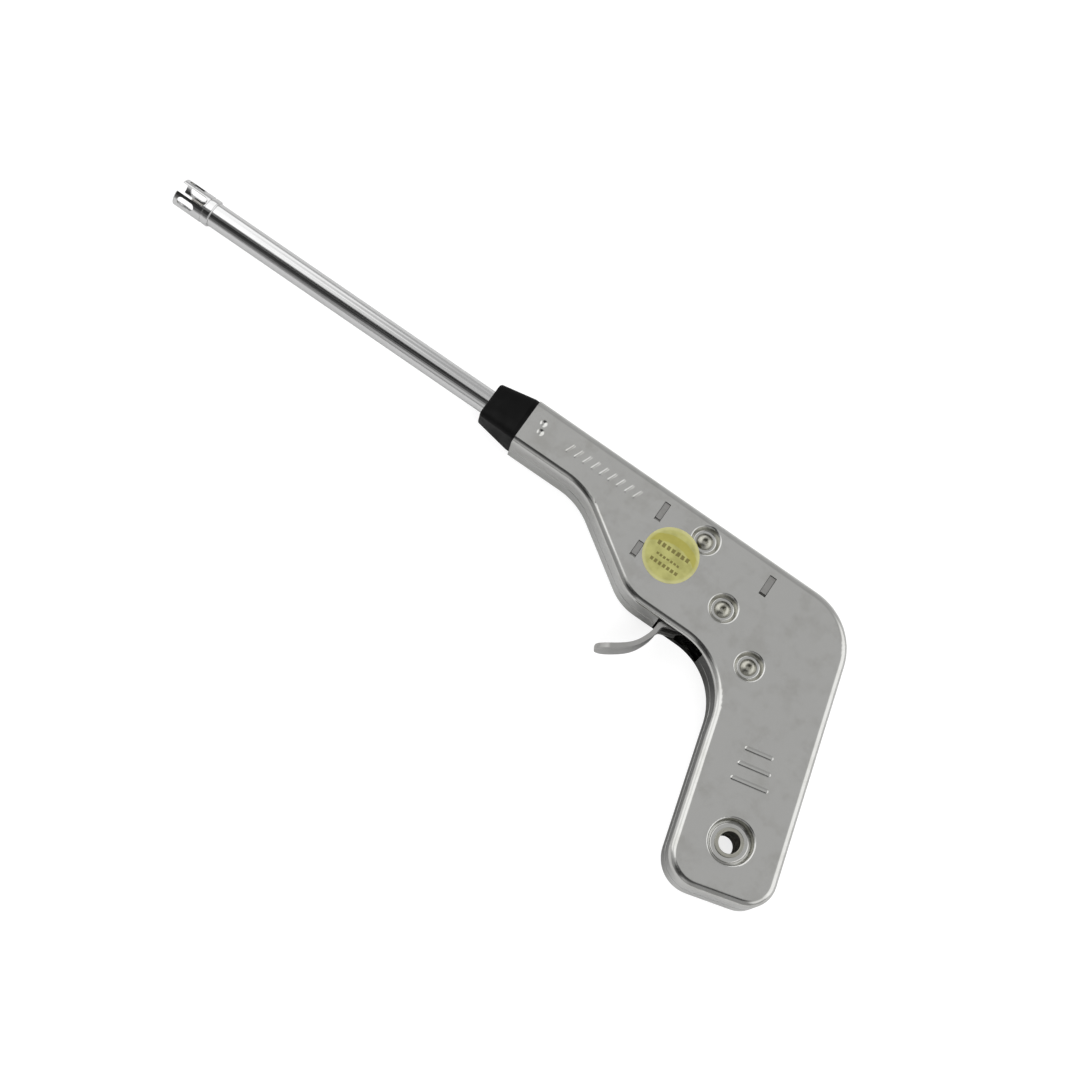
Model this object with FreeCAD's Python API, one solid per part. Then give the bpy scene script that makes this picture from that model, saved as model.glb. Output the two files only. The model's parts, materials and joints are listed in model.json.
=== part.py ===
import FreeCAD, Part
import os
from math import sin, cos, tan, atan2, hypot, radians, pi

# Pistol-shaped piezo gas lighter, lying on its right side.
# Design frame, in mm: X runs back from the collar joint, Y is up the grip to the barrel,
# Z is the thickness, with the left face on top. The muzzle is toward -X, the grip toward -Y.
# Every shape is moved to the row frame when it is exported.

V = FreeCAD.Vector

# ---- driving dimensions ----
THICK = 18.0            # overall thickness of the two shells
MID = THICK / 2
SHEET = 0.8             # shell sheet
EDGE_R = 2.5            # outer radius all round each shell
RECV_H = 7.85           # half height of the collar's rear end
RECV_LOW = -9.0         # underside of the receiver behind the collar
TOP_FRONT = 8.3         # top edge at the front of the blank
TOP_REAR = 7.5          # top edge at the upper rear corner
BACK_R = 21.0           # radius of that corner
SEAM_CUT = 0.22         # bevel along both rims, which shows as a fine seam
GRIP_LEAN = 15.1        # lean of the grip from -Y toward +X, degrees
GRIP_FRONT = 87.0       # distance of the front strap from the origin, across the grip
GRIP_BACK = 123.0       # distance of the back strap from the origin, across the grip
GRIP_END = 125.4        # distance of the grip's end from the origin, along the grip
BELLY_Y = -29.85        # underside above the trigger
SLANT_A = 34.2          # slope of the slanted underside, degrees
SLANT_P = (34.5, -13.3) # a point on it
FRONT_X = -8.0          # the blanks run this far ahead before they are trimmed at X = 0

COLLAR_L = 14.3
COLLAR_FRONT_Y = 6.5    # half height of the collar's front end
COLLAR_FRONT_Z = 5.3    # half thickness of it
TENON_L = 5.0
TUBE_R = 4.25
TUBE_WALL = 0.6
TUBE_FRONT = -127.6
TUBE_REAR = 5.0
GUARD_R = 4.85
GUARD_WALL = 0.57
GUARD_FRONT = -139.3
GUARD_STEP = -128.4
GUARD_REAR = -125.4
GUARD_SLOT_W = 3.7
WINDOW = (4.7, 6.4, 3.0)    # its centre behind the guard's mouth, its length and its width
WINDOW_A = 53.0             # its angle from the open slots, degrees
ELECTRODE_R = 0.6
ELECTRODE_TIP = -134.8
SLEEVE_R = 3.4

RIVETS = {"guide": (70.0, 0.2), "pivot": (86.9, -15.3), "rear": (104.0, -26.4)}
DIMPLE_R = 4.9
DIMPLE_FLOOR_R = 3.7
DIMPLE_DEPTH = 1.8
DIMPLE_EDGE = 0.7
SHANK_R = 1.6
HEAD_R = 2.85
HEAD_H = 1.25
HEAD_HOLE_R = 0.85      # open end of each tubular rivet, on the left side
HANG = (129.3, -76.5)
HANG_R = 3.5
HANG_MOUTH_R = 7.55
HANG_FLOOR_R = 6.2
HANG_DEPTH = 3.2
EYELET_WALL = 0.45
FLANGE_R = 4.75

ANVIL_X = 53.2
PLATE_T = 1.9
SEAT_X = 94.7
SEAT_T = 2.2
TAB_GAP = 0.14
TAB_SPARE = 0.8         # the slots run on this far below the tabs
TAB_SINK = 0.4          # the tabs end this far below the faces
TRIG_SLOT_X = (71.6, 89.6)
TRIG_SLOT_Z = (1.6, 16.4)
TRIG_SLOT_Y = -28.1

HOUSING = (6.0, 52.0)
HOUSING_Y = 6.2
BORE_R = 3.45
CRYSTAL_R = 3.25

PULL = 36.0             # trigger travel, degrees
NOSE_R = 13.0           # pawl nose centre, from the pivot
NOSE_START = 45.0       # its angle ahead of straight down, at rest
NOSE_TIP_R = 1.2
STROKE = NOSE_R * (sin(radians(NOSE_START)) - sin(radians(NOSE_START - PULL)))
HAMMER_Z = (6.2, 11.8)
GUIDE_R = 2.2
PIVOT_R = 2.6
BLADE_Z = (3.2, 14.8)
CHEEK_Z = (4.6, 13.4)
CHEEK_T = 1.2
BLADE_T = 1.6
PAWL_PIN = (71.9, -23.3)
SPRING_POST = (70.8, -18.5)
SPRING_EYE = (56.2, -15.2)
LABEL = (63.4, -10.7)
LABEL_R = 9.4


# ---- helpers ----
def rounded(points):
    """Closed wire through corner points (x, y, radius), each corner a tangent arc."""
    n = len(points)
    ends = []
    for i in range(n):
        x, y, r = points[i]
        p = V(x, y, 0)
        a = (V(points[i - 1][0], points[i - 1][1], 0) - p).normalize()
        b = (V(points[(i + 1) % n][0], points[(i + 1) % n][1], 0) - p).normalize()
        if r <= 0:
            ends.append((p, None, p))
            continue
        half = a.getAngle(b) / 2
        t = r / tan(half)
        m = V(a.x + b.x, a.y + b.y, 0).normalize()
        c = p + m * (r / sin(half))
        ends.append((p + a * t, c - m * r, p + b * t))
    edges = []
    for i in range(n):
        s, m, e = ends[i]
        if m is not None:
            edges.append(Part.Arc(s, m, e).toShape())
        q = ends[(i + 1) % n][0]
        if (q - e).Length > 1e-4:
            edges.append(Part.LineSegment(e, q).toShape())
    return Part.Wire(edges)


def slab(wire, z0, z1):
    face = Part.Face(wire)
    face.translate(V(0, 0, z0))
    return face.extrude(V(0, 0, z1 - z0))


def plate(points, z0, z1):
    return slab(rounded(points), z0, z1)


def inset(points, t):
    """The same outline, t further in on every side."""
    n = len(points)
    area = sum(points[i - 1][0] * points[i][1] - points[i][0] * points[i - 1][1] for i in range(n))
    side = 1 if area > 0 else -1
    out = []
    for i in range(n):
        p, q, s = points[i - 1], points[i], points[(i + 1) % n]
        d1 = V(q[0] - p[0], q[1] - p[1], 0).normalize()
        d2 = V(s[0] - q[0], s[1] - q[1], 0).normalize()
        n1 = V(-d1.y * side, d1.x * side, 0)
        n2 = V(-d2.y * side, d2.x * side, 0)
        turn = (d1.x * d2.y - d1.y * d2.x) * side
        k = t / (1 + n1.dot(n2))
        r = q[2] - t if turn > 0 else q[2] + t
        out.append((q[0] + k * (n1.x + n2.x), q[1] + k * (n1.y + n2.y), max(r, 0)))
    return out


def rod(p, q, r):
    d = V(*q) - V(*p)
    return Part.makeCylinder(r, d.Length, V(*p), d)


def disc_x(x0, x1, r, y=0.0, z=MID):
    return Part.makeCylinder(r, x1 - x0, V(x0, y, z), V(1, 0, 0))


def disc_z(c, z0, z1, r):
    return Part.makeCylinder(r, z1 - z0, V(c[0], c[1], z0), V(0, 0, 1))


def ring_z(c, z0, z1, r_in, r_out):
    return disc_z(c, z0, z1, r_out).cut(disc_z(c, z0 - 1, z1 + 1, r_in))


def box(x0, x1, y0, y1, z0, z1):
    return Part.makeBox(x1 - x0, y1 - y0, z1 - z0, V(x0, y0, z0))


def slot_z(x0, x1, y, half, z0, z1):
    """Round-ended slot along X."""
    return plate([(x0, y - half, half * 0.999), (x1, y - half, half * 0.999),
                  (x1, y + half, half * 0.999), (x0, y + half, half * 0.999)], z0, z1)


def link(c1, r1, c2, r2, z0, z1):
    """Flat link: two round ends and their common tangents."""
    d = hypot(c2[0] - c1[0], c2[1] - c1[1])
    base = atan2(c2[1] - c1[1], c2[0] - c1[0])
    k = pi / 2 + atan2(r2 - r1, (d * d - (r2 - r1) ** 2) ** 0.5)
    pts = []
    for c, r, s in ((c1, r1, 1), (c2, r2, 1), (c2, r2, -1), (c1, r1, -1)):
        pts.append((c[0] + r * cos(base + s * k), c[1] + r * sin(base + s * k), 0))
    body = plate(pts, z0, z1)
    return body.fuse([disc_z(c1, z0, z1, r1), disc_z(c2, z0, z1, r2)]).removeSplitter()


def block_x(x0, x1, half_y, z0, z1, r):
    """Block along X with rounded long edges, centred on Y = 0."""
    b = box(x0, x1, -half_y, half_y, z0, z1)
    return b.makeFillet(r, [e for e in b.Edges if abs(e.BoundBox.XLength - (x1 - x0)) < 1e-6])


def coil(p, q, r, wire_r, turns):
    """Round-wire helix from p to q, with its end points."""
    d = V(*q) - V(*p)
    helix = Part.makeHelix(d.Length / turns, d.Length, r)
    ring = Part.Wire(Part.makeCircle(wire_r, V(r, 0, 0), V(0, 1, 0)))
    shape = Part.Wire(helix.Edges).makePipeShell([ring], True, True)
    rot = FreeCAD.Rotation(V(0, 0, 1), d)
    shape.Placement = FreeCAD.Placement(V(*p), rot)
    last = rot.multVec(V(r * cos(2 * pi * turns), r * sin(2 * pi * turns), d.Length)) + V(*p)
    return shape, rot.multVec(V(r, 0, 0)) + V(*p), last


def circle_edges(shape, c, z, r=None):
    """Circles about the upright line through c, at height z."""
    out = []
    for e in shape.Edges:
        k = None if e.Degenerated else e.Curve
        if isinstance(k, Part.Circle) and abs(k.Center.z - z) < 1e-4:
            if hypot(k.Center.x - c[0], k.Center.y - c[1]) < 1e-4:
                if r is None or abs(k.Radius - r) < 1e-3:
                    out.append(e)
    return out


# ---- shells ----
def body_outline():
    """Corner points of the pistol outline, anticlockwise, with their radii."""
    lean = radians(GRIP_LEAN)
    nx, ny = cos(lean), sin(lean)
    gx, gy = sin(lean), -cos(lean)

    def across(k, y):
        return (k - ny * y) / nx

    def grip_corner(k):
        return (k * nx + GRIP_END * gx, k * ny + GRIP_END * gy)

    slope = tan(radians(SLANT_A))
    x_low = SLANT_P[0] + (SLANT_P[1] - BELLY_Y) / slope
    x_high = SLANT_P[0] + (SLANT_P[1] - RECV_LOW) / slope
    bx, by = grip_corner(GRIP_BACK)
    fx, fy = grip_corner(GRIP_FRONT)
    return [(FRONT_X, RECV_LOW, 0), (x_high, RECV_LOW, 24.0), (x_low, BELLY_Y, 18.0),
            (across(GRIP_FRONT, BELLY_Y), BELLY_Y, 22.5), (fx, fy, 11.5), (bx, by, 9.5),
            (across(GRIP_BACK, TOP_REAR), TOP_REAR, BACK_R), (FRONT_X, TOP_FRONT, 0)]


def dimple(c, mouth_r, floor_r, depth, grow):
    """Cone let into the lower face; grow is the sheet left behind it."""
    slope = (mouth_r - floor_r) / depth
    return Part.makeCone(mouth_r + grow + slope * grow, floor_r + grow, depth + grow, V(c[0], c[1], 0))


def half_shell():
    """The right shell: outer face at Z = 0, open toward +Z."""
    outline = body_outline()
    outer = plate(outline, 0, MID)
    outer = outer.makeFillet(EDGE_R, [e for e in outer.Edges if e.BoundBox.ZMax < 1e-6])
    outer = outer.makeChamfer(SEAM_CUT, [e for e in outer.Edges if e.BoundBox.ZMin > MID - 1e-6])
    hollow = [(x - 2 if x <= FRONT_X + 2 else x, y, r) for x, y, r in inset(outline, SHEET)]
    inner = plate(hollow, SHEET, MID + 1)
    low = [e for e in inner.Edges if abs(e.BoundBox.ZMax - SHEET) < 1e-6]
    inner = inner.makeFillet(EDGE_R - SHEET, low)
    marks = [(c, DIMPLE_R, DIMPLE_FLOOR_R, DIMPLE_DEPTH) for c in RIVETS.values()]
    marks.append((HANG, HANG_MOUTH_R, HANG_FLOOR_R, HANG_DEPTH))
    for m in marks:
        inner = inner.cut(dimple(*m, SHEET))
    shell = outer.cut(inner)
    for m in marks:
        shell = shell.cut(dimple(*m, 0))
    shell = shell.cut(box(FRONT_X - 5, 0, -20, 20, -1, MID + 2))
    for c, mouth, floor, depth in marks:
        shell = shell.makeFillet(DIMPLE_EDGE, circle_edges(shell, c, 0, mouth))
        shell = shell.makeFillet(0.5, circle_edges(shell, c, depth, floor))
    for c in RIVETS.values():
        shell = shell.cut(disc_z(c, -1, 5, SHANK_R + 0.04))
    shell = shell.cut(disc_z(HANG, -1, 6, HANG_R + EYELET_WALL + 0.04))
    for x, t, y0, y1 in ((ANVIL_X, PLATE_T, -3.5, 3.3), (ANVIL_X, PLATE_T, -18.0, -12.5),
                         (SEAT_X, SEAT_T, -4.3, 2.8)):
        h = t / 2 + TAB_GAP
        shell = shell.cut(box(x - h, x + h, y0 - TAB_GAP, y1 + TAB_GAP, -1, 2))
    cutter = plate([(TRIG_SLOT_X[0], -40, 0), (TRIG_SLOT_X[1], -40, 0), (TRIG_SLOT_X[1], TRIG_SLOT_Y, 1.0),
                    (TRIG_SLOT_X[0], TRIG_SLOT_Y, 1.0)], TRIG_SLOT_Z[0], MID + 1)
    shell = shell.cut(cutter)
    for x, y in ((5.2, 1.8), (6.0, -1.3)):
        shell = shell.cut(Part.makeSphere(2.4, V(x, y, -2.05)))
    return shell


def to_left(shape):
    """Mirror a right-hand shape about the seam."""
    return shape.mirror(V(0, 0, MID), V(0, 0, 1))


# ---- barrel ----
def rounded_end(x, hy, hz, r):
    """Rounded rectangle across X."""
    w = rounded([(-hy, -hz, r), (hy, -hz, r), (hy, hz, r), (-hy, hz, r)])
    w.Placement = FreeCAD.Placement(V(x, 0, MID), FreeCAD.Rotation(V(1, 1, 1), 120))
    return w


def nose_collar():
    rear = rounded_end(0, RECV_H, MID, EDGE_R)
    step = rounded_end(-1.6, RECV_H, MID, EDGE_R)
    front = rounded_end(-COLLAR_L, COLLAR_FRONT_Y, COLLAR_FRONT_Z, 2.0)
    body = Part.makeLoft([rear, step], True, True)
    body = body.fuse(Part.makeLoft([step, front], True, True)).removeSplitter()
    face = [e for e in body.Edges if e.BoundBox.XMax < -COLLAR_L + 1e-4]
    body = body.makeFillet(1.1, face)
    top, low = RECV_H - SHEET - 0.1, RECV_LOW + SHEET + 0.15
    tenon = block_x(-0.5, TENON_L, (top - low) / 2, SHEET + 0.15, THICK - SHEET - 0.15, 2.0)
    tenon.translate(V(0, (top + low) / 2, 0))
    body = body.fuse(tenon)
    return body.cut(disc_x(-COLLAR_L - 1, TENON_L + 1, TUBE_R + 0.03))


def barrel_tube():
    bore = disc_x(TUBE_FRONT - 1, TUBE_REAR + 1, TUBE_R - TUBE_WALL)
    return disc_x(TUBE_FRONT, TUBE_REAR, TUBE_R).cut(bore)


def spark_guard():
    body = disc_x(GUARD_FRONT, GUARD_REAR, GUARD_R)
    body = body.makeFillet(0.45, [e for e in body.Edges if isinstance(e.Curve, Part.Circle)])
    body = body.cut(disc_x(GUARD_FRONT - 1, GUARD_STEP, GUARD_R - GUARD_WALL))
    body = body.cut(disc_x(GUARD_STEP - 1, GUARD_REAR + 1, TUBE_R + 0.03))
    neck = disc_x(GUARD_STEP, GUARD_STEP + 0.9, GUARD_R + 1)
    body = body.cut(neck.cut(disc_x(GUARD_STEP - 1, GUARD_REAR, GUARD_R - 0.25)))
    end = GUARD_STEP - 0.2 - GUARD_SLOT_W / 2
    half = GUARD_SLOT_W / 2
    slot = box(GUARD_FRONT - 1, end, -half, half, -5, 25).fuse(disc_z((end, 0), -5, 25, half))
    body = body.cut(slot)
    mid = GUARD_FRONT + WINDOW[0]
    for a in (WINDOW_A, 180 - WINDOW_A):
        win = slot_z(mid - WINDOW[1] / 2, mid + WINDOW[1] / 2, 0, WINDOW[2] / 2, -12, 12)
        win.rotate(V(0, 0, 0), V(1, 0, 0), a)
        win.translate(V(0, 0, MID))
        body = body.cut(win)
    return body


def tip_insulator():
    body = disc_x(-127.2, -121.0, TUBE_R - TUBE_WALL - 0.03)
    nose = Part.makeCone(1.3, TUBE_R - TUBE_WALL - 0.03, 2.4, V(-129.6, 0, MID), V(1, 0, 0))
    return body.fuse(nose).removeSplitter().cut(disc_x(-135, -120, ELECTRODE_R + 0.02))


def centre_electrode():
    body = disc_x(ELECTRODE_TIP + ELECTRODE_R, 9.6, ELECTRODE_R)
    return body.fuse(Part.makeSphere(ELECTRODE_R, V(ELECTRODE_TIP + ELECTRODE_R, 0, MID))).removeSplitter()


def insulating_sleeve():
    return disc_x(-120.9, HOUSING[0] - 0.05, SLEEVE_R).cut(disc_x(-122, 8, ELECTRODE_R + 0.02))


# ---- piezo stack ----
def piezo_housing():
    body = block_x(HOUSING[0], HOUSING[1], HOUSING_Y, 1.0, THICK - 1.0, 2.2)
    body = body.cut(disc_x(HOUSING[0] + 2, HOUSING[1] + 1, BORE_R))
    body = body.cut(disc_x(HOUSING[0] - 1, HOUSING[0] + 3, ELECTRODE_R + 0.1))
    return body.cut(box(HOUSING[0] + 2, 34.3, 0, 4.7, MID - 1.0, MID + 1.0))


def hv_terminal():
    body = disc_x(8.1, 11.0, CRYSTAL_R + 0.05)
    return body.cut(disc_x(7, 9.7, ELECTRODE_R + 0.02))


def hv_lead():
    return box(8.4, 34.0, CRYSTAL_R + 0.12, CRYSTAL_R + 0.12 + 0.8, MID - 0.8, MID + 0.8)


def earth_strip():
    y0 = -(RECV_H - SHEET - 0.08)
    leg = box(5.05, 5.45, y0, -3.65, MID - 2, MID + 2)
    return leg.fuse(box(5.05, 10.5, y0, y0 + 0.4, MID - 2, MID + 2)).removeSplitter()


# ---- fixed plates, rivets, bushes ----
def tabbed_plate(x, t, y0, y1, tabs):
    """Upright plate held by tabs through both shells."""
    b = box(x - t / 2, x + t / 2, y0, y1, 1.0, THICK - 1.0)
    b = b.makeFillet(2.0, [e for e in b.Edges if abs(e.BoundBox.XLength - t) < 1e-6])
    for a, c in tabs:
        b = b.fuse(box(x - t / 2, x + t / 2, a + TAB_SPARE, c, TAB_SINK, THICK - TAB_SINK))
    return b.removeSplitter()


def anvil_plate():
    b = tabbed_plate(ANVIL_X, PLATE_T, -19.5, 6.3, ((-3.5, 3.3), (-18.0, -12.5)))
    b = b.cut(disc_x(ANVIL_X - 3, ANVIL_X + 3, 3.1))
    lug = box(ANVIL_X, SPRING_EYE[0] + 1.2, SPRING_EYE[1] - 1.3, SPRING_EYE[1] + 1.3, MID - 2.4, MID - 0.4)
    return b.fuse([lug, disc_z(SPRING_EYE, MID - 1, MID + 1, 0.95)]).removeSplitter()


def spring_seat_plate():
    b = tabbed_plate(SEAT_X, SEAT_T, -4.6, 6.3, ((-4.3, 2.8),))
    return b.fuse(disc_x(SEAT_X - SEAT_T / 2 - 3.0, SEAT_X, 2.2)).removeSplitter()


def rivet(c):
    floor = DIMPLE_DEPTH
    shank = disc_z(c, floor, THICK - floor, SHANK_R)
    sphere_r = (HEAD_R ** 2 + HEAD_H ** 2) / (2 * HEAD_H)
    keep = disc_z(c, THICK - floor, THICK - floor + HEAD_H + 1, HEAD_R)
    dome = Part.makeSphere(sphere_r, V(c[0], c[1], THICK - floor + HEAD_H - sphere_r)).common(keep)
    body = shank.fuse([dome, to_left(dome)]).removeSplitter()
    body = body.cut(disc_z(c, THICK - floor - 0.6, THICK, HEAD_HOLE_R))
    lip_z = THICK - floor + HEAD_H - sphere_r + (sphere_r ** 2 - HEAD_HOLE_R ** 2) ** 0.5
    return body.makeFillet(0.3, circle_edges(body, c, lip_z))


FLOOR_IN = DIMPLE_DEPTH + SHEET + 0.05


def guide_bush():
    """Right-hand half: flange against the shell, neck up to mid thickness."""
    c = RIVETS["guide"]
    b = disc_z(c, FLOOR_IN, HAMMER_Z[0] - 0.15, 4.2).fuse(disc_z(c, FLOOR_IN, MID - 0.02, GUIDE_R))
    return b.cut(disc_z(c, 0, MID + 1, SHANK_R + 0.04)).removeSplitter()


def hang_eyelet():
    z0 = HANG_DEPTH - 0.45
    z1 = THICK - z0
    body = ring_z(HANG, z0, z1, HANG_R, HANG_R + EYELET_WALL)
    low = ring_z(HANG, z0, HANG_DEPTH - 0.02, HANG_R, FLANGE_R)
    body = body.fuse([low, to_left(low)]).removeSplitter()
    edges = circle_edges(body, HANG, z0) + circle_edges(body, HANG, z1)
    return body.makeFillet(0.2, edges)


# ---- moving parts ----
def nose_centre():
    a = radians(NOSE_START)
    p = RIVETS["pivot"]
    return (p[0] - NOSE_R * sin(a), p[1] - NOSE_R * cos(a))


def hammer():
    face = nose_centre()[0] + NOSE_TIP_R + 0.1
    g, p = RIVETS["guide"], RIVETS["pivot"]
    z0, z1 = HAMMER_Z
    pts = [(56.1, 4.3, 1.2), (56.1, -4.3, 1.2), (73.0, -4.3, 1.5), (73.0, -20.6, 1.0), (face, -20.6, 0.6),
           (face, -27.1, 0.3), (92.0, -27.1, 3.0), (92.0, -5.2, 1.5), (76.0, -5.2, 0.5), (76.0, 4.3, 0.8)]
    b = plate(pts, z0, z1)
    b = b.cut(slot_z(g[0] - STROKE - GUIDE_R - 0.5, g[0] + GUIDE_R + 0.4, g[1], GUIDE_R + 0.1, 0, 20))
    b = b.cut(slot_z(p[0] - STROKE - PIVOT_R - 0.5, p[0] + PIVOT_R + 0.4, p[1], PIVOT_R + 0.1, 0, 20))
    return b.fuse(disc_x(75.0, 79.5, 2.3)).removeSplitter()


def blade():
    """Curved finger blade: offset curves either side of its centre line."""
    mid = [V(73.05, -32.0, 0), V(72.9, -33.4, 0), V(71.9, -36.8, 0), V(69.9, -40.45, 0), V(66.9, -43.4, 0),
           V(63.1, -46.1, 0), V(59.95, -47.95, 0)]
    curve = Part.BSplineCurve()
    curve.interpolate(mid)
    sides = []
    for s in (-1, 1):
        pts = []
        for i in range(9):
            u = curve.FirstParameter + (curve.LastParameter - curve.FirstParameter) * i / 8
            t = V(*curve.tangent(u)[0])
            pts.append(curve.value(u) + V(-t.y, t.x, 0).normalize() * (s * BLADE_T / 2))
        k = Part.BSplineCurve()
        k.interpolate(pts)
        sides.append((k.toShape(), pts[0], pts[-1]))
    w = Part.Wire([sides[0][0], Part.LineSegment(sides[0][2], sides[1][2]).toShape(), sides[1][0],
                   Part.LineSegment(sides[1][1], sides[0][1]).toShape()])
    b = slab(w, BLADE_Z[0], BLADE_Z[1])
    tip = [e for e in b.Edges if e.BoundBox.XMax < 61.5 and e.BoundBox.ZLength < 1e-3 and e.Length < 2]
    return b.makeFillet(4.6, tip)


def trigger_lever():
    z0, z1 = CHEEK_Z
    outline = [(91.7, -10.5, 4.6), (91.7, -20.1, 4.6), (80.0, -27.6, 0.6), (79.2, -28.4, 0.2),
               (73.0, -30.6, 0.4), (72.5, -28.4, 0.8), (69.5, -25.7, 2.0), (68.7, -15.8, 2.4),
               (82.0, -10.5, 3.0)]
    low = plate(outline, z0, z0 + CHEEK_T)
    high = plate(outline, z1 - CHEEK_T, z1)
    fold = [(72.3, -32.6, 0), (73.8, -32.6, 0), (73.8, -30.85, 2.0), (79.5, -29.0, 0.3),
            (79.2, -27.6, 0.3), (72.3, -30.0, 1.6)]
    web = plate(fold, BLADE_Z[0], BLADE_Z[1])
    web = web.cut(box(74.3, 85, -35, -20, z0, z1))
    body = low.fuse([high, web, blade()]).removeSplitter()
    body = body.cut(disc_z(RIVETS["pivot"], 0, THICK, PIVOT_R + 0.05))
    body = body.cut(disc_z(PAWL_PIN, 0, THICK, 1.25))
    return body.cut(disc_z(SPRING_POST, 0, THICK, 1.05))


def cocking_pawl():
    b = link(PAWL_PIN, 2.3, nose_centre(), NOSE_TIP_R, 7.4, 10.6)
    return b.cut(disc_z(PAWL_PIN, 0, THICK, 1.28))


def hammer_spring():
    x0, x1 = 76.05, SEAT_X - SEAT_T / 2 - 0.05
    s = coil((x0 + 0.45, 0, MID), (x1 - 0.45, 0, MID), 3.05, 0.42, 9)[0]
    for x in (x0 + 0.42, x1 - 0.42):
        s = s.fuse(Part.makeTorus(3.05, 0.42, V(x, 0, MID), V(1, 0, 0)))
    return s


def return_spring():
    a = V(SPRING_EYE[0], SPRING_EYE[1], MID)
    b = V(SPRING_POST[0], SPRING_POST[1], MID)
    d = (b - a).normalize()
    wire = 0.25
    eye = 1.35
    p, q = a + d * (eye + 1.2), b - d * (eye + 1.2)
    s, first, last = coil(tuple(p), tuple(q), 1.5, wire, 16)
    parts = []
    for c, e, sign in ((a, first, 1), (b, last, -1)):
        parts.append(Part.makeTorus(eye, wire, c, V(0, 0, 1)))
        rim = c + d * (eye * sign)
        parts.append(rod(tuple(rim), tuple(e), wire))
    return s.fuse(parts)


def pawl_spring():
    z = 11.0
    s, first, last = coil((PAWL_PIN[0], PAWL_PIN[1], z), (PAWL_PIN[0], PAWL_PIN[1], z + 0.95), 1.75, 0.2, 2)
    leg = rod(tuple(first), (first.x + 1.2, first.y - 2.6, first.z), 0.2)
    arm = rod(tuple(last), (last.x - 1.4, last.y + 3.6, last.z), 0.2)
    return s.fuse([leg, arm])


def foil_label():
    return disc_z(LABEL, THICK, THICK + 0.1, LABEL_R)


# ---- export ----
def row_shift():
    """Puts the origin under the centre of the overall box, on the table."""
    pts = rounded(body_outline()).discretize(Deflection=0.005)
    x = (GUARD_FRONT + max(p.x for p in pts)) / 2
    y = (min(p.y for p in pts) + max(p.y for p in pts)) / 2
    return V(-x, -y, 0)


def single(shape):
    """One closed solid, not a one-member compound."""
    if shape.ShapeType != "Solid" and len(shape.Solids) == 1:
        return shape.Solids[0]
    return shape


def build():
    right = half_shell()
    bush = guide_bush()
    washer = ring_z(RIVETS["pivot"], FLOOR_IN, CHEEK_Z[0] - 0.1, PIVOT_R + 0.05, 4.2)
    return {
        "left_shell": to_left(right),
        "right_shell": right,
        "nose_collar": nose_collar(),
        "barrel_tube": barrel_tube(),
        "spark_guard": spark_guard(),
        "tip_insulator": tip_insulator(),
        "centre_electrode": centre_electrode(),
        "insulating_sleeve": insulating_sleeve(),
        "piezo_housing": piezo_housing(),
        "hv_terminal": hv_terminal(),
        "hv_lead": hv_lead(),
        "insulator_plug": disc_x(11.05, 14.0, CRYSTAL_R),
        "front_plug": disc_x(14.05, 18.0, CRYSTAL_R),
        "front_crystal": disc_x(18.05, 33.0, CRYSTAL_R - 0.15),
        "contact_disc": disc_x(33.05, 33.95, CRYSTAL_R),
        "rear_crystal": disc_x(34.0, 49.0, CRYSTAL_R - 0.15),
        "impact_pad": disc_x(49.05, 56.0, 3.0),
        "earth_strip": earth_strip(),
        "anvil_plate": anvil_plate(),
        "spring_seat_plate": spring_seat_plate(),
        "guide_rivet": rivet(RIVETS["guide"]),
        "pivot_rivet": rivet(RIVETS["pivot"]),
        "rear_rivet": rivet(RIVETS["rear"]),
        "guide_bush_right": bush,
        "guide_bush_left": to_left(bush),
        "pivot_bush": ring_z(RIVETS["pivot"], FLOOR_IN, THICK - FLOOR_IN, SHANK_R + 0.04, PIVOT_R),
        "washer_right": washer,
        "washer_left": to_left(washer),
        "rear_spacer": ring_z(RIVETS["rear"], FLOOR_IN, THICK - FLOOR_IN, SHANK_R + 0.04, 3.0),
        "hang_eyelet": hang_eyelet(),
        "foil_label": foil_label(),
        "hammer": hammer(),
        "hammer_spring": hammer_spring(),
        "trigger_lever": trigger_lever(),
        "pawl_pin": disc_z(PAWL_PIN, CHEEK_Z[0], CHEEK_Z[1], 1.2),
        "spring_post": disc_z(SPRING_POST, CHEEK_Z[0], CHEEK_Z[1], 1.0),
        "cocking_pawl": cocking_pawl(),
        "return_spring": return_spring(),
        "pawl_spring": pawl_spring(),
    }


os.makedirs("parts", exist_ok=True)
shift = row_shift()
print("shift", shift, "stroke", STROKE, "ratio", STROKE / radians(PULL))
for node, shape in build().items():
    shape = single(shape)
    shape.translate(shift)
    if not shape.isValid() or len(shape.Solids) != 1:
        print("check", node, shape.ShapeType, len(shape.Solids), shape.isValid())
    shape.exportStep("parts/" + node + ".step")
    print(node, round(shape.Volume, 2), [round(k, 2) for k in (
        shape.BoundBox.XMin, shape.BoundBox.XMax, shape.BoundBox.YMin, shape.BoundBox.YMax,
        shape.BoundBox.ZMin, shape.BoundBox.ZMax)])
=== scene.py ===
import json
import math

import bmesh
import bpy
from mathutils import Matrix, Vector


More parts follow.
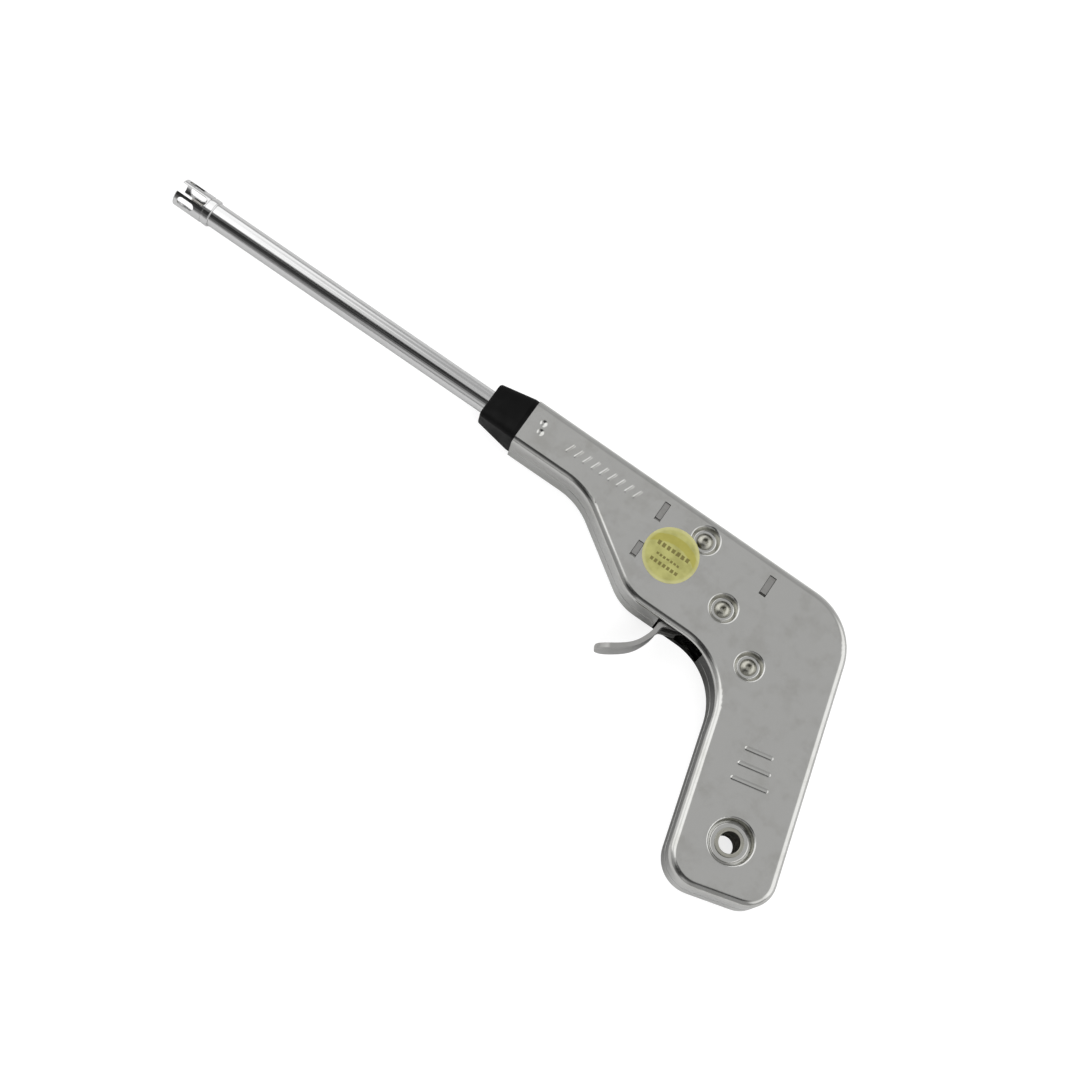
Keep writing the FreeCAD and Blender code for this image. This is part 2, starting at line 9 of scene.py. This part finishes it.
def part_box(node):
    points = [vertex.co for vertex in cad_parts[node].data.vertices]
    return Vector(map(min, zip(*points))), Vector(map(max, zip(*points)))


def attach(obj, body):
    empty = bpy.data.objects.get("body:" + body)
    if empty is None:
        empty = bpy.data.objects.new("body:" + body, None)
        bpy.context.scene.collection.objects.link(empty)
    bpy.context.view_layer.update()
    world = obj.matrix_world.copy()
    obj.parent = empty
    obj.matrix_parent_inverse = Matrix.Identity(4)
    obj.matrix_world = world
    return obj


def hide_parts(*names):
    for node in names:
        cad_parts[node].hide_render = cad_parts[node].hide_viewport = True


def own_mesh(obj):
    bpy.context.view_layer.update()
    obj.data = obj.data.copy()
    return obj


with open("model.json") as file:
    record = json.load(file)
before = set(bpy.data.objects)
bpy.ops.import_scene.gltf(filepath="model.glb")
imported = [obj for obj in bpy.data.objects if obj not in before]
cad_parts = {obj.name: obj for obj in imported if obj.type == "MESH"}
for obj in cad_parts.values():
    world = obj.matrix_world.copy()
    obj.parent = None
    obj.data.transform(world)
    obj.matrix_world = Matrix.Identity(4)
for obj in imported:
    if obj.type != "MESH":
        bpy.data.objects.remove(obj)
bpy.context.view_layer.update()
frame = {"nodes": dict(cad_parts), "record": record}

# Pistol-shaped piezo gas lighter, lying on its right side. Metres, in the row frame:
# the muzzle points to -X, the grip to -Y and the left face is on top.
# Every CAD part keeps its shape and gets a material. Pressed ribs on the left face and
# a copy of the hammer spring, in place of the CAD one, are added.

MM = 0.001
nodes = frame["nodes"]


def centre(node):
    low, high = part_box(node)
    return (low + high) / 2


# ---- places, from the frame ----
AXIS = centre("barrel_tube")            # a point on the barrel's axis
FACE_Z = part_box("left_shell")[1].z      # the left face, on top
JOINT_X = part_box("left_shell")[0].x     # where the shells meet the collar
HOLE = centre("hang_eyelet")
LABEL = centre("foil_label")
GRIP_LEAN = math.radians(15.1)          # lean of the grip from -Y toward +X

# ---- camera ----
CAMERA_AT = (0.05545, -0.16269, 0.6430)
CAMERA_TURN = (14.632, -6.391, 34.167)  # degrees
SENSOR = 36.0                           # mm
LENS = 67.67                            # mm

# ---- pressed ribs: length, width and height of one ----
RECEIVER_RIB = (4.0 * MM, 1.1 * MM, 0.24 * MM)
RECEIVER_COUNT = 9
RECEIVER_START = 17.0 * MM              # first rib, behind the collar joint
RECEIVER_PITCH = 3.3 * MM
RECEIVER_TURN = math.radians(68)
GRIP_RIB = (13.0 * MM, 1.7 * MM, 0.26 * MM)
GRIP_COUNT = 3
GRIP_START = 19.0 * MM                  # first rib, up the grip from the hanging hole
GRIP_PITCH = 5.2 * MM
GRIP_TURN = math.radians(12)
GRIP_TAPER = 0.12                       # each next rib is shorter by this share
RIB_RINGS = 4                           # rings from foot to crown
RIB_AROUND = 24                         # points in each ring
RIB_CROWN = 0.15                        # width of the crown, as a share of the foot's
RIB_SINK = 0.02 * MM                    # the foot starts this far below the face

# ---- label ----
LABEL_ROWS = [  # place of a row of bars, half its height, pitch of its bars
    (1.6 * MM, 0.75 * MM, 1.80 * MM),
    (-1.8 * MM, 0.40 * MM, 1.30 * MM),
    (-4.3 * MM, 0.60 * MM, 1.55 * MM),
]
ROW_BARS = 7                            # bars in each row
BAR_SHARE = 0.33                        # half width of a bar, as a share of the pitch
BAND_BOW = 45.0                         # bow of the darker band, per metre
BAND_LOW = (3.4 * MM, 3.8 * MM)         # its soft lower and upper edges
BAND_HIGH = (6.6 * MM, 6.2 * MM)
RIM = (8.0 * MM, 8.9 * MM)              # radii where the pale rim starts and is full
PAPER = ((0.38, 0.37, 0.130, 1.0), (0.28, 0.27, 0.085, 1.0))
BAND_INK = (0.30, 0.27, 0.04, 1.0)
BAR_INK = (0.11, 0.09, 0.02, 1.0)
RIM_PAPER = (0.55, 0.53, 0.30, 1.0)

# ---- room and table ----
CEILING = 0.60
WALL = 0.52
# a soft round patch each: azimuth from +X, angle from straight up,
# radius of its full part, radius where it ends (degrees), brightness
ROOM = [
    (-90.0, 72.0, 44.0, 56.0, 0.38),    # dim wall behind the operator
    (-94.0, 68.0, 7.0, 12.0, 0.62),     # its lit door
    (28.0, 64.0, 26.0, 38.0, 1.40),     # large window, toward the grip's back
    (-20.0, 54.0, 10.0, 20.0, 1.15),    # its paler edge
    (172.0, 68.0, 22.0, 32.0, 1.40),    # low window past the muzzle
    (-172.0, 45.0, 9.0, 17.0, 1.00),    # its near corner
    (130.0, 44.0, 18.0, 22.0, 1.40),    # lamps along the muzzle side
    (174.0, 30.0, 16.0, 20.0, 1.50),
    (120.0, 63.0, 15.0, 19.0, 1.30),
    (88.0, 40.0, 10.0, 18.0, 0.46),     # wall between the windows
    (-104.0, 19.0, 9.0, 16.0, 0.03),    # camera and operator
    (-86.0, 33.0, 8.0, 14.0, 0.10),
    (-52.0, 22.0, 8.0, 14.0, 0.05),
    (-117.0, 42.0, 9.0, 13.0, 0.03),    # camera boom
    (-114.0, 56.0, 9.0, 13.0, 0.04),
    (-113.0, 70.0, 9.0, 13.0, 0.13),
]
TABLE_HALF = 6.0
TABLE_GAP = 0.2 * MM                    # the table lies this far below the shells
TABLE_TONE = 0.62
# shade of the grip and trigger on the table, seen in reflections:
# x, y, half length, half width, tone
SHADE = [
    (0.099, -0.013, 0.036, 0.011, 0.26),
    (0.081, 0.006, 0.010, 0.008, 0.15),
]


def add_camera():
    data = bpy.data.cameras.new("camera")
    data.sensor_width = SENSOR
    data.lens = LENS
    data.clip_start = 0.01
    camera = bpy.data.objects.new("camera", data)
    camera.location = CAMERA_AT
    camera.rotation_euler = [math.radians(angle) for angle in CAMERA_TURN]
    bpy.context.scene.collection.objects.link(camera)
    bpy.context.scene.camera = camera


# ---- node helpers ----
class Nodes:
    """A material's or world's node tree, with short calls for what repeats."""

    def __init__(self, tree):
        self.tree = tree
        tree.nodes.clear()

    def put(self, socket, value):
        """Links value to the socket if it is a socket itself, or sets it as a plain value."""
        if isinstance(value, bpy.types.NodeSocket):
            self.tree.links.new(value, socket)
        else:
            socket.default_value = value

    def add(self, kind, inputs=None, **settings):
        node = self.tree.nodes.new(kind)
        for key, value in settings.items():
            setattr(node, key, value)
        for key, value in (inputs or {}).items():
            self.put(node.inputs[key], value)
        return node

    def math(self, operation, a, b=0.0):
        return self.add("ShaderNodeMath", {0: a, 1: b}, operation=operation).outputs[0]

    def times(self, a, b):
        return self.math("MULTIPLY", a, b)

    def below(self, value, limit):
        """1 where the value, without its sign, is below the limit."""
        return self.math("LESS_THAN", self.math("ABSOLUTE", value), limit)

    def ramp(self, value, a, b, low=0.0, high=1.0):
        """value from a..b to low..high, smooth and clamped."""
        inputs = {"Value": value, "From Min": a, "From Max": b, "To Min": low, "To Max": high}
        return self.add("ShaderNodeMapRange", inputs, interpolation_type="SMOOTHSTEP").outputs["Result"]

    def mix(self, factor, a, b):
        node = self.add("ShaderNodeMix", data_type="RGBA")
        for index, value in ((0, factor), (6, a), (7, b)):
            self.put(node.inputs[index], value)
        return node.outputs[2]

    def noise(self, vector, scale, detail=2.0, rough=0.5):
        inputs = {"Vector": vector, "Scale": scale, "Detail": detail, "Roughness": rough}
        return self.add("ShaderNodeTexNoise", inputs).outputs["Fac"]

    def stretched(self, vector, scale):
        return self.add("ShaderNodeMapping", {"Vector": vector, "Scale": scale}).outputs["Vector"]

    def bump(self, height, distance, strength=1.0, normal=None):
        inputs = {"Height": height, "Distance": distance, "Strength": strength}
        if normal is not None:
            inputs["Normal"] = normal
        return self.add("ShaderNodeBump", inputs).outputs["Normal"]


def grey(value, tint=(1.0, 1.0, 1.0)):
    return (value * tint[0], value * tint[1], value * tint[2], 1.0)


def surface(name, **plain):
    """A material with one Principled shader. Plain values go on its own sockets."""
    material = bpy.data.materials.new(name)
    material.use_nodes = True
    t = Nodes(material.node_tree)
    shader = t.add("ShaderNodeBsdfPrincipled")
    for key, value in plain.items():
        shader.inputs[key.replace("_", " ")].default_value = value
    t.add("ShaderNodeOutputMaterial", {"Surface": shader.outputs[0]})
    at = t.add("ShaderNodeTexCoord").outputs["Object"]

    def link(socket, value):
        t.tree.links.new(value, shader.inputs[socket])

    return material, t, at, link


# ---- materials ----
def metal(name, base, rough, tint=(1.0, 1.0, 1.0), smudge=0.06, wave=0.0,
          grain=(1.0, 1.0, 1.0), grain_h=0.0, dirt=0.12, dirt_scale=90.0):
    """Plated or bare metal: soft tarnish, smudges in the gloss, rolled waviness and a fine grain."""
    material, t, at, link = surface(name, Metallic=1.0)
    cloud = t.noise(at, dirt_scale, 4.0, 0.6)
    fine = t.noise(at, 2400.0, 3.0, 0.6)
    stained = grey(base * 0.72, (tint[0], tint[1] * 0.98, tint[2] * 0.93))
    colour = t.mix(t.ramp(cloud, 0.45, 0.72, 0.0, dirt), grey(base, tint), stained)
    speck = t.ramp(fine, 0.62, 0.75, 0.0, dirt * 0.6)
    link("Base Color", t.mix(speck, colour, grey(base * 0.6, tint)))
    patches = t.noise(at, dirt_scale * 0.45, 3.0)
    gloss = t.ramp(patches, 0.35, 0.7, rough - smudge / 2, rough + smudge / 2)
    link("Roughness", t.math("ADD", gloss, t.times(fine, smudge * 0.4)))
    normal = t.bump(t.noise(t.stretched(at, grain), 900.0, 3.0, 0.7), grain_h, 0.6)
    if wave:
        normal = t.bump(t.noise(at, 48.0, 1.0), wave, 0.5, normal)
    link("Normal", normal)
    return material


def plastic(name, base, rough, tint=(1.0, 1.0, 1.0), specular=0.5):
    """Moulded plastic: fine moulded grain, faint flow clouds and rubbed patches."""
    material, t, at, link = surface(name, Specular_IOR_Level=specular)
    cloud = t.ramp(t.noise(at, 70.0, 3.0), 0.4, 0.7)
    link("Base Color", t.mix(cloud, grey(base, tint), grey(base * 1.5 + 0.004, tint)))
    link("Roughness", t.ramp(t.noise(at, 150.0, 3.0), 0.3, 0.7, rough - 0.06, rough + 0.08))
    link("Normal", t.bump(t.noise(at, 3200.0, 2.0, 0.6), 0.02 * MM, 0.5))
    return material


def ceramic(name, base, rough):
    """Fired ceramic: dark specks, a thin glaze and a slightly uneven surface."""
    material, t, at, link = surface(name, Coat_Weight=0.3)
    speck = t.ramp(t.noise(at, 2600.0, 2.0), 0.6, 0.7, 0.0, 0.35)
    link("Base Color", t.mix(speck, base, (base[0] * 0.6, base[1] * 0.6, base[2] * 0.55, 1.0)))
    link("Roughness", t.ramp(t.noise(at, 300.0, 2.0), 0.3, 0.7, rough - 0.05, rough + 0.1))
    link("Normal", t.bump(t.noise(at, 1500.0, 3.0), 0.02 * MM, 0.5))
    return material


def foil():
    """Printed foil: yellow paper, a darker arc band at the top, rows of plain bars and a pale rim."""
    material, t, at, link = surface("printed_foil", Specular_IOR_Level=0.4)
    local = t.add("ShaderNodeMapping", {"Vector": at, "Location": (-LABEL.x, -LABEL.y, 0.0)})
    place = t.add("ShaderNodeSeparateXYZ", {0: local.outputs[0]})
    x, y = place.outputs[0], place.outputs[1]
    wobble = t.times(t.math("SUBTRACT", t.noise(at, 700.0, 2.0), 0.5), 0.5 * MM)
    height = t.math("ADD", y, wobble)
    across = t.math("ADD", x, wobble)

    paper = t.mix(t.ramp(t.noise(at, 260.0, 4.0), 0.35, 0.75), *PAPER)
    bowed = t.math("ADD", height, t.times(t.times(x, x), BAND_BOW))
    band = t.times(t.ramp(bowed, *BAND_LOW), t.ramp(bowed, *BAND_HIGH))
    colour = t.mix(t.times(band, 0.7), paper, BAND_INK)
    for row, half, pitch in LABEL_ROWS:
        inside = t.below(t.math("SUBTRACT", height, row), half)
        width = t.below(x, ROW_BARS / 2 * pitch)
        bars = t.math("LESS_THAN", t.math("PINGPONG", across, pitch / 2), pitch * BAR_SHARE)
        mark = t.times(t.times(inside, width), bars)
        colour = t.mix(t.times(mark, 0.84), colour, BAR_INK)
    radius = t.math("SQRT", t.math("ADD", t.times(x, x), t.times(y, y)))
    link("Base Color", t.mix(t.ramp(radius, *RIM, 0.0, 0.35), colour, RIM_PAPER))
    link("Roughness", t.ramp(t.noise(at, 400.0, 3.0), 0.3, 0.7, 0.38, 0.6))
    link("Normal", t.bump(t.noise(at, 500.0, 3.0), 0.06 * MM, 0.5))
    return material


def make_materials():
    """One material for each slot of the record."""
    fine = 0.008 * MM
    coarse = 0.01 * MM
    return {
        "plated_steel": metal("plated_sheet", 0.587, 0.16, (1.0, 1.0, 0.97), wave=0.45 * MM,
                              grain=(0.15, 1.0, 1.0), grain_h=0.004 * MM, dirt=0.35, dirt_scale=110.0),
        "chrome_tube": metal("polished_tube", 0.72, 0.12, smudge=0.04,
                             grain=(1.0, 0.1, 0.1), grain_h=0.003 * MM, dirt=0.08),
        "collar_plastic": plastic("black_collar", 0.002, 0.46, specular=0.07),
        "ceramic": ceramic("glazed_ceramic", (0.80, 0.78, 0.70, 1.0), 0.25),
        "electrode": metal("drawn_wire", 0.45, 0.35, (1.0, 0.97, 0.92),
                           grain=(0.1, 1.0, 1.0), grain_h=coarse),
        "sleeve": plastic("white_sleeve", 0.75, 0.45, (1.0, 1.0, 0.97)),
        "housing": plastic("black_housing", 0.05, 0.5),
        "brass": metal("bright_brass", 0.75, 0.28, (1.0, 0.78, 0.42),
                       grain=(0.2, 1.0, 1.0), grain_h=fine),
        "crystal": ceramic("fired_crystal", (0.28, 0.25, 0.19, 1.0), 0.45),
        "dark_steel": metal("hardened_steel", 0.12, 0.42, (0.95, 0.97, 1.0),
                            grain=(1.0, 0.3, 1.0), grain_h=coarse, dirt=0.3),
        "plate_steel": metal("rolled_plate", 0.36, 0.34, (1.0, 0.99, 0.96),
                             grain=(1.0, 0.1, 1.0), grain_h=coarse, dirt=0.35, dirt_scale=400.0),
        "rivet_steel": metal("rivet_plating", 0.46, 0.28, (1.0, 0.985, 0.87),
                             grain_h=0.006 * MM, dirt=0.5, dirt_scale=500.0),
        "bush": metal("turned_steel", 0.42, 0.3, (1.0, 0.98, 0.94),
                      grain=(1.0, 1.0, 0.1), grain_h=fine),
        "trigger_steel": metal("satin_blade", 0.43, 0.38, (1.0, 0.995, 0.97),
                               grain=(1.0, 1.0, 0.12), grain_h=fine, dirt=0.2, dirt_scale=240.0),
        "spring_steel": metal("music_wire", 0.38, 0.3, (0.97, 0.98, 1.0), grain_h=fine),
        "foil": foil(),
    }


def dress(materials):
    """Every CAD node takes the material of its record slot."""
    for row in frame["record"]["subparts"]:
        mesh = nodes[row["node"]].data
        mesh.materials.clear()
        mesh.materials.append(materials[row["material_slot"]])


# ---- pieces added to the CAD, all on the frame body ----
def piece(name, mesh, material, body="frame"):
    obj = bpy.data.objects.new(name, mesh)
    bpy.context.scene.collection.objects.link(obj)
    mesh.materials.clear()
    mesh.materials.append(material)
    for face in mesh.polygons:
        face.use_smooth = True
    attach(obj, body)
    return obj


def rib_rings(length, width, height):
    """Rings of points from a rib's foot to its crown: a long round-ended pad, rounded at the top."""
    rings = []
    for k in range(RIB_RINGS + 1):
        climb = math.pi / 2 * k / RIB_RINGS
        rise = height * math.sin(climb) - RIB_SINK
        end_r = width / 2 * (math.cos(climb) * (1 - RIB_CROWN) + RIB_CROWN)
        ring = []
        for i in range(RIB_AROUND):
            a = 2 * math.pi * (i + 0.5) / RIB_AROUND
            side = math.copysign(length / 2 - width / 2, math.cos(a))
            ring.append(Vector((side + end_r * math.cos(a), end_r * math.sin(a), rise)))
        rings.append(ring)
    return rings


def ribs(name, places, size, material):
    """Low rounded ribs pressed up out of the left face: (x, y, turn, share of the length) for each."""
    length, width, height = size
    bm = bmesh.new()
    for x, y, angle, share in places:
        turn = Matrix.Translation((x, y, FACE_Z)) @ Matrix.Rotation(angle, 4, "Z")
        loops = []
        for ring in rib_rings(length * share, width, height):
            loops.append([bm.verts.new(turn @ point) for point in ring])
        for low, high in zip(loops, loops[1:]):
            for i in range(RIB_AROUND):
                j = (i + 1) % RIB_AROUND
                bm.faces.new((low[i], low[j], high[j], high[i]))
        bm.faces.new(loops[-1])
        bm.faces.new(list(reversed(loops[0])))
    mesh = bpy.data.meshes.new(name)
    bm.to_mesh(mesh)
    bm.free()
    return piece(name, mesh, material)


def add_marks(steel):
    """A row of short ribs along the receiver, and three long ones across the grip."""
    row = []
    for k in range(RECEIVER_COUNT):
        row.append((JOINT_X + RECEIVER_START + RECEIVER_PITCH * k, AXIS.y, RECEIVER_TURN, 1.0))
    ribs("receiver_ribs", row, RECEIVER_RIB, steel)
    up_grip = Vector((-math.sin(GRIP_LEAN), math.cos(GRIP_LEAN), 0))
    grip = []
    for k in range(GRIP_COUNT):
        at = HOLE + up_grip * (GRIP_START + GRIP_PITCH * k)
        grip.append((at.x, at.y, GRIP_TURN, 1.0 - GRIP_TAPER * k))
    ribs("grip_ribs", grip, GRIP_RIB, steel)


def add_hammer_spring(wire):
    """A copy of the hammer's spring on the frame body, in place of the CAD spring, which is hidden."""
    spring = piece("hammer_spring_coil", nodes["hammer_spring"].data.copy(), wire)
    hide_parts("hammer_spring")
    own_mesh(spring)


# ---- stage ----
def table_material():
    """Plain white to the camera. Reflections and bounced light see a mid-grey table with the shade."""
    material = bpy.data.materials.new("floor_paint")
    material.use_nodes = True
    t = Nodes(material.node_tree)
    at = t.add("ShaderNodeTexCoord").outputs["Object"]
    tone = grey(TABLE_TONE)
    for x, y, length, width, dark in SHADE:
        inputs = {"Vector": at, "Location": (x, y, 0.0), "Rotation": (0.0, 0.0, GRIP_LEAN),
                  "Scale": (width, length, 1.0)}
        local = t.add("ShaderNodeMapping", inputs, vector_type="TEXTURE").outputs[0]
        reach = t.add("ShaderNodeVectorMath", {0: local}, operation="LENGTH").outputs["Value"]
        tone = t.mix(t.ramp(reach, 1.5, 0.9), tone, grey(dark))
    table = t.add("ShaderNodeBsdfDiffuse", {"Color": tone}).outputs[0]
    matt = t.add("ShaderNodeBsdfDiffuse", {"Color": grey(0.30)}).outputs[0]
    glow = t.add("ShaderNodeEmission", {"Color": grey(1.0), "Strength": 0.80}).outputs[0]
    white = t.add("ShaderNodeAddShader", {0: matt, 1: glow}).outputs[0]
    seen = t.add("ShaderNodeLightPath").outputs["Is Camera Ray"]
    both = t.add("ShaderNodeMixShader", {0: seen, 1: table, 2: white}).outputs[0]
    t.add("ShaderNodeOutputMaterial", {"Surface": both})
    return material


def add_floor():
    mesh = bpy.data.meshes.new("floor")
    corners = [(-TABLE_HALF, -TABLE_HALF, 0), (TABLE_HALF, -TABLE_HALF, 0),
               (TABLE_HALF, TABLE_HALF, 0), (-TABLE_HALF, TABLE_HALF, 0)]
    mesh.from_pydata(corners, [], [(0, 1, 2, 3)])
    mesh.materials.append(table_material())
    floor = bpy.data.objects.new("floor", mesh)
    floor.location.z = -TABLE_GAP
    bpy.context.scene.collection.objects.link(floor)


def toward(azimuth, from_top):
    """A direction: azimuth from +X toward +Y, and the angle down from straight up, in degrees."""
    a, e = math.radians(azimuth), math.radians(from_top)
    return Vector((math.cos(a) * math.sin(e), math.sin(a) * math.sin(e), math.cos(e)))


def add_world():
    """A grey studio room with windows and dark patches, seen in reflections. White to the camera."""
    world = bpy.data.worlds.new("studio")
    bpy.context.scene.world = world
    world.use_nodes = True
    t = Nodes(world.node_tree)
    ray = t.add("ShaderNodeTexCoord").outputs["Generated"]
    way = t.add("ShaderNodeVectorMath", {0: ray}, operation="NORMALIZE").outputs["Vector"]
    up = t.add("ShaderNodeSeparateXYZ", {0: way}).outputs[2]
    level = t.mix(t.ramp(up, 0.25, 0.85), grey(WALL), grey(CEILING))
    for azimuth, from_top, full, end, value in ROOM:
        patch = t.add("ShaderNodeVectorMath", {0: way, 1: toward(azimuth, from_top)}, operation="DOT_PRODUCT")
        limits = (math.cos(math.radians(end)), math.cos(math.radians(full)))
        level = t.mix(t.ramp(patch.outputs["Value"], *limits), level, grey(value))
    seen = t.add("ShaderNodeLightPath").outputs["Is Camera Ray"]
    background = t.add("ShaderNodeBackground", {"Color": t.mix(seen, level, grey(1.0)), "Strength": 1.0})
    t.add("ShaderNodeOutputWorld", {"Surface": background.outputs[0]})


def area_light(name, direction, distance, size, power):
    """A round soft light, aimed at the origin and left out of reflections."""
    data = bpy.data.lights.new(name, "AREA")
    data.shape = "DISK"
    data.size = size
    data.energy = power
    light = bpy.data.objects.new(name, data)
    light.location = direction * distance
    light.rotation_euler = direction.to_track_quat("Z", "Y").to_euler()
    light.visible_glossy = False
    bpy.context.scene.collection.objects.link(light)


def add_lights():
    area_light("key", toward(-50, 40), distance=1.4, size=0.9, power=9.0)
    area_light("fill", toward(140, 45), distance=1.6, size=1.2, power=5.0)


bpy.context.scene.view_settings.view_transform = "Standard"
add_camera()
materials = make_materials()
dress(materials)
add_marks(materials["plated_steel"])
add_hammer_spring(materials["spring_steel"])
add_floor()
add_world()
add_lights()
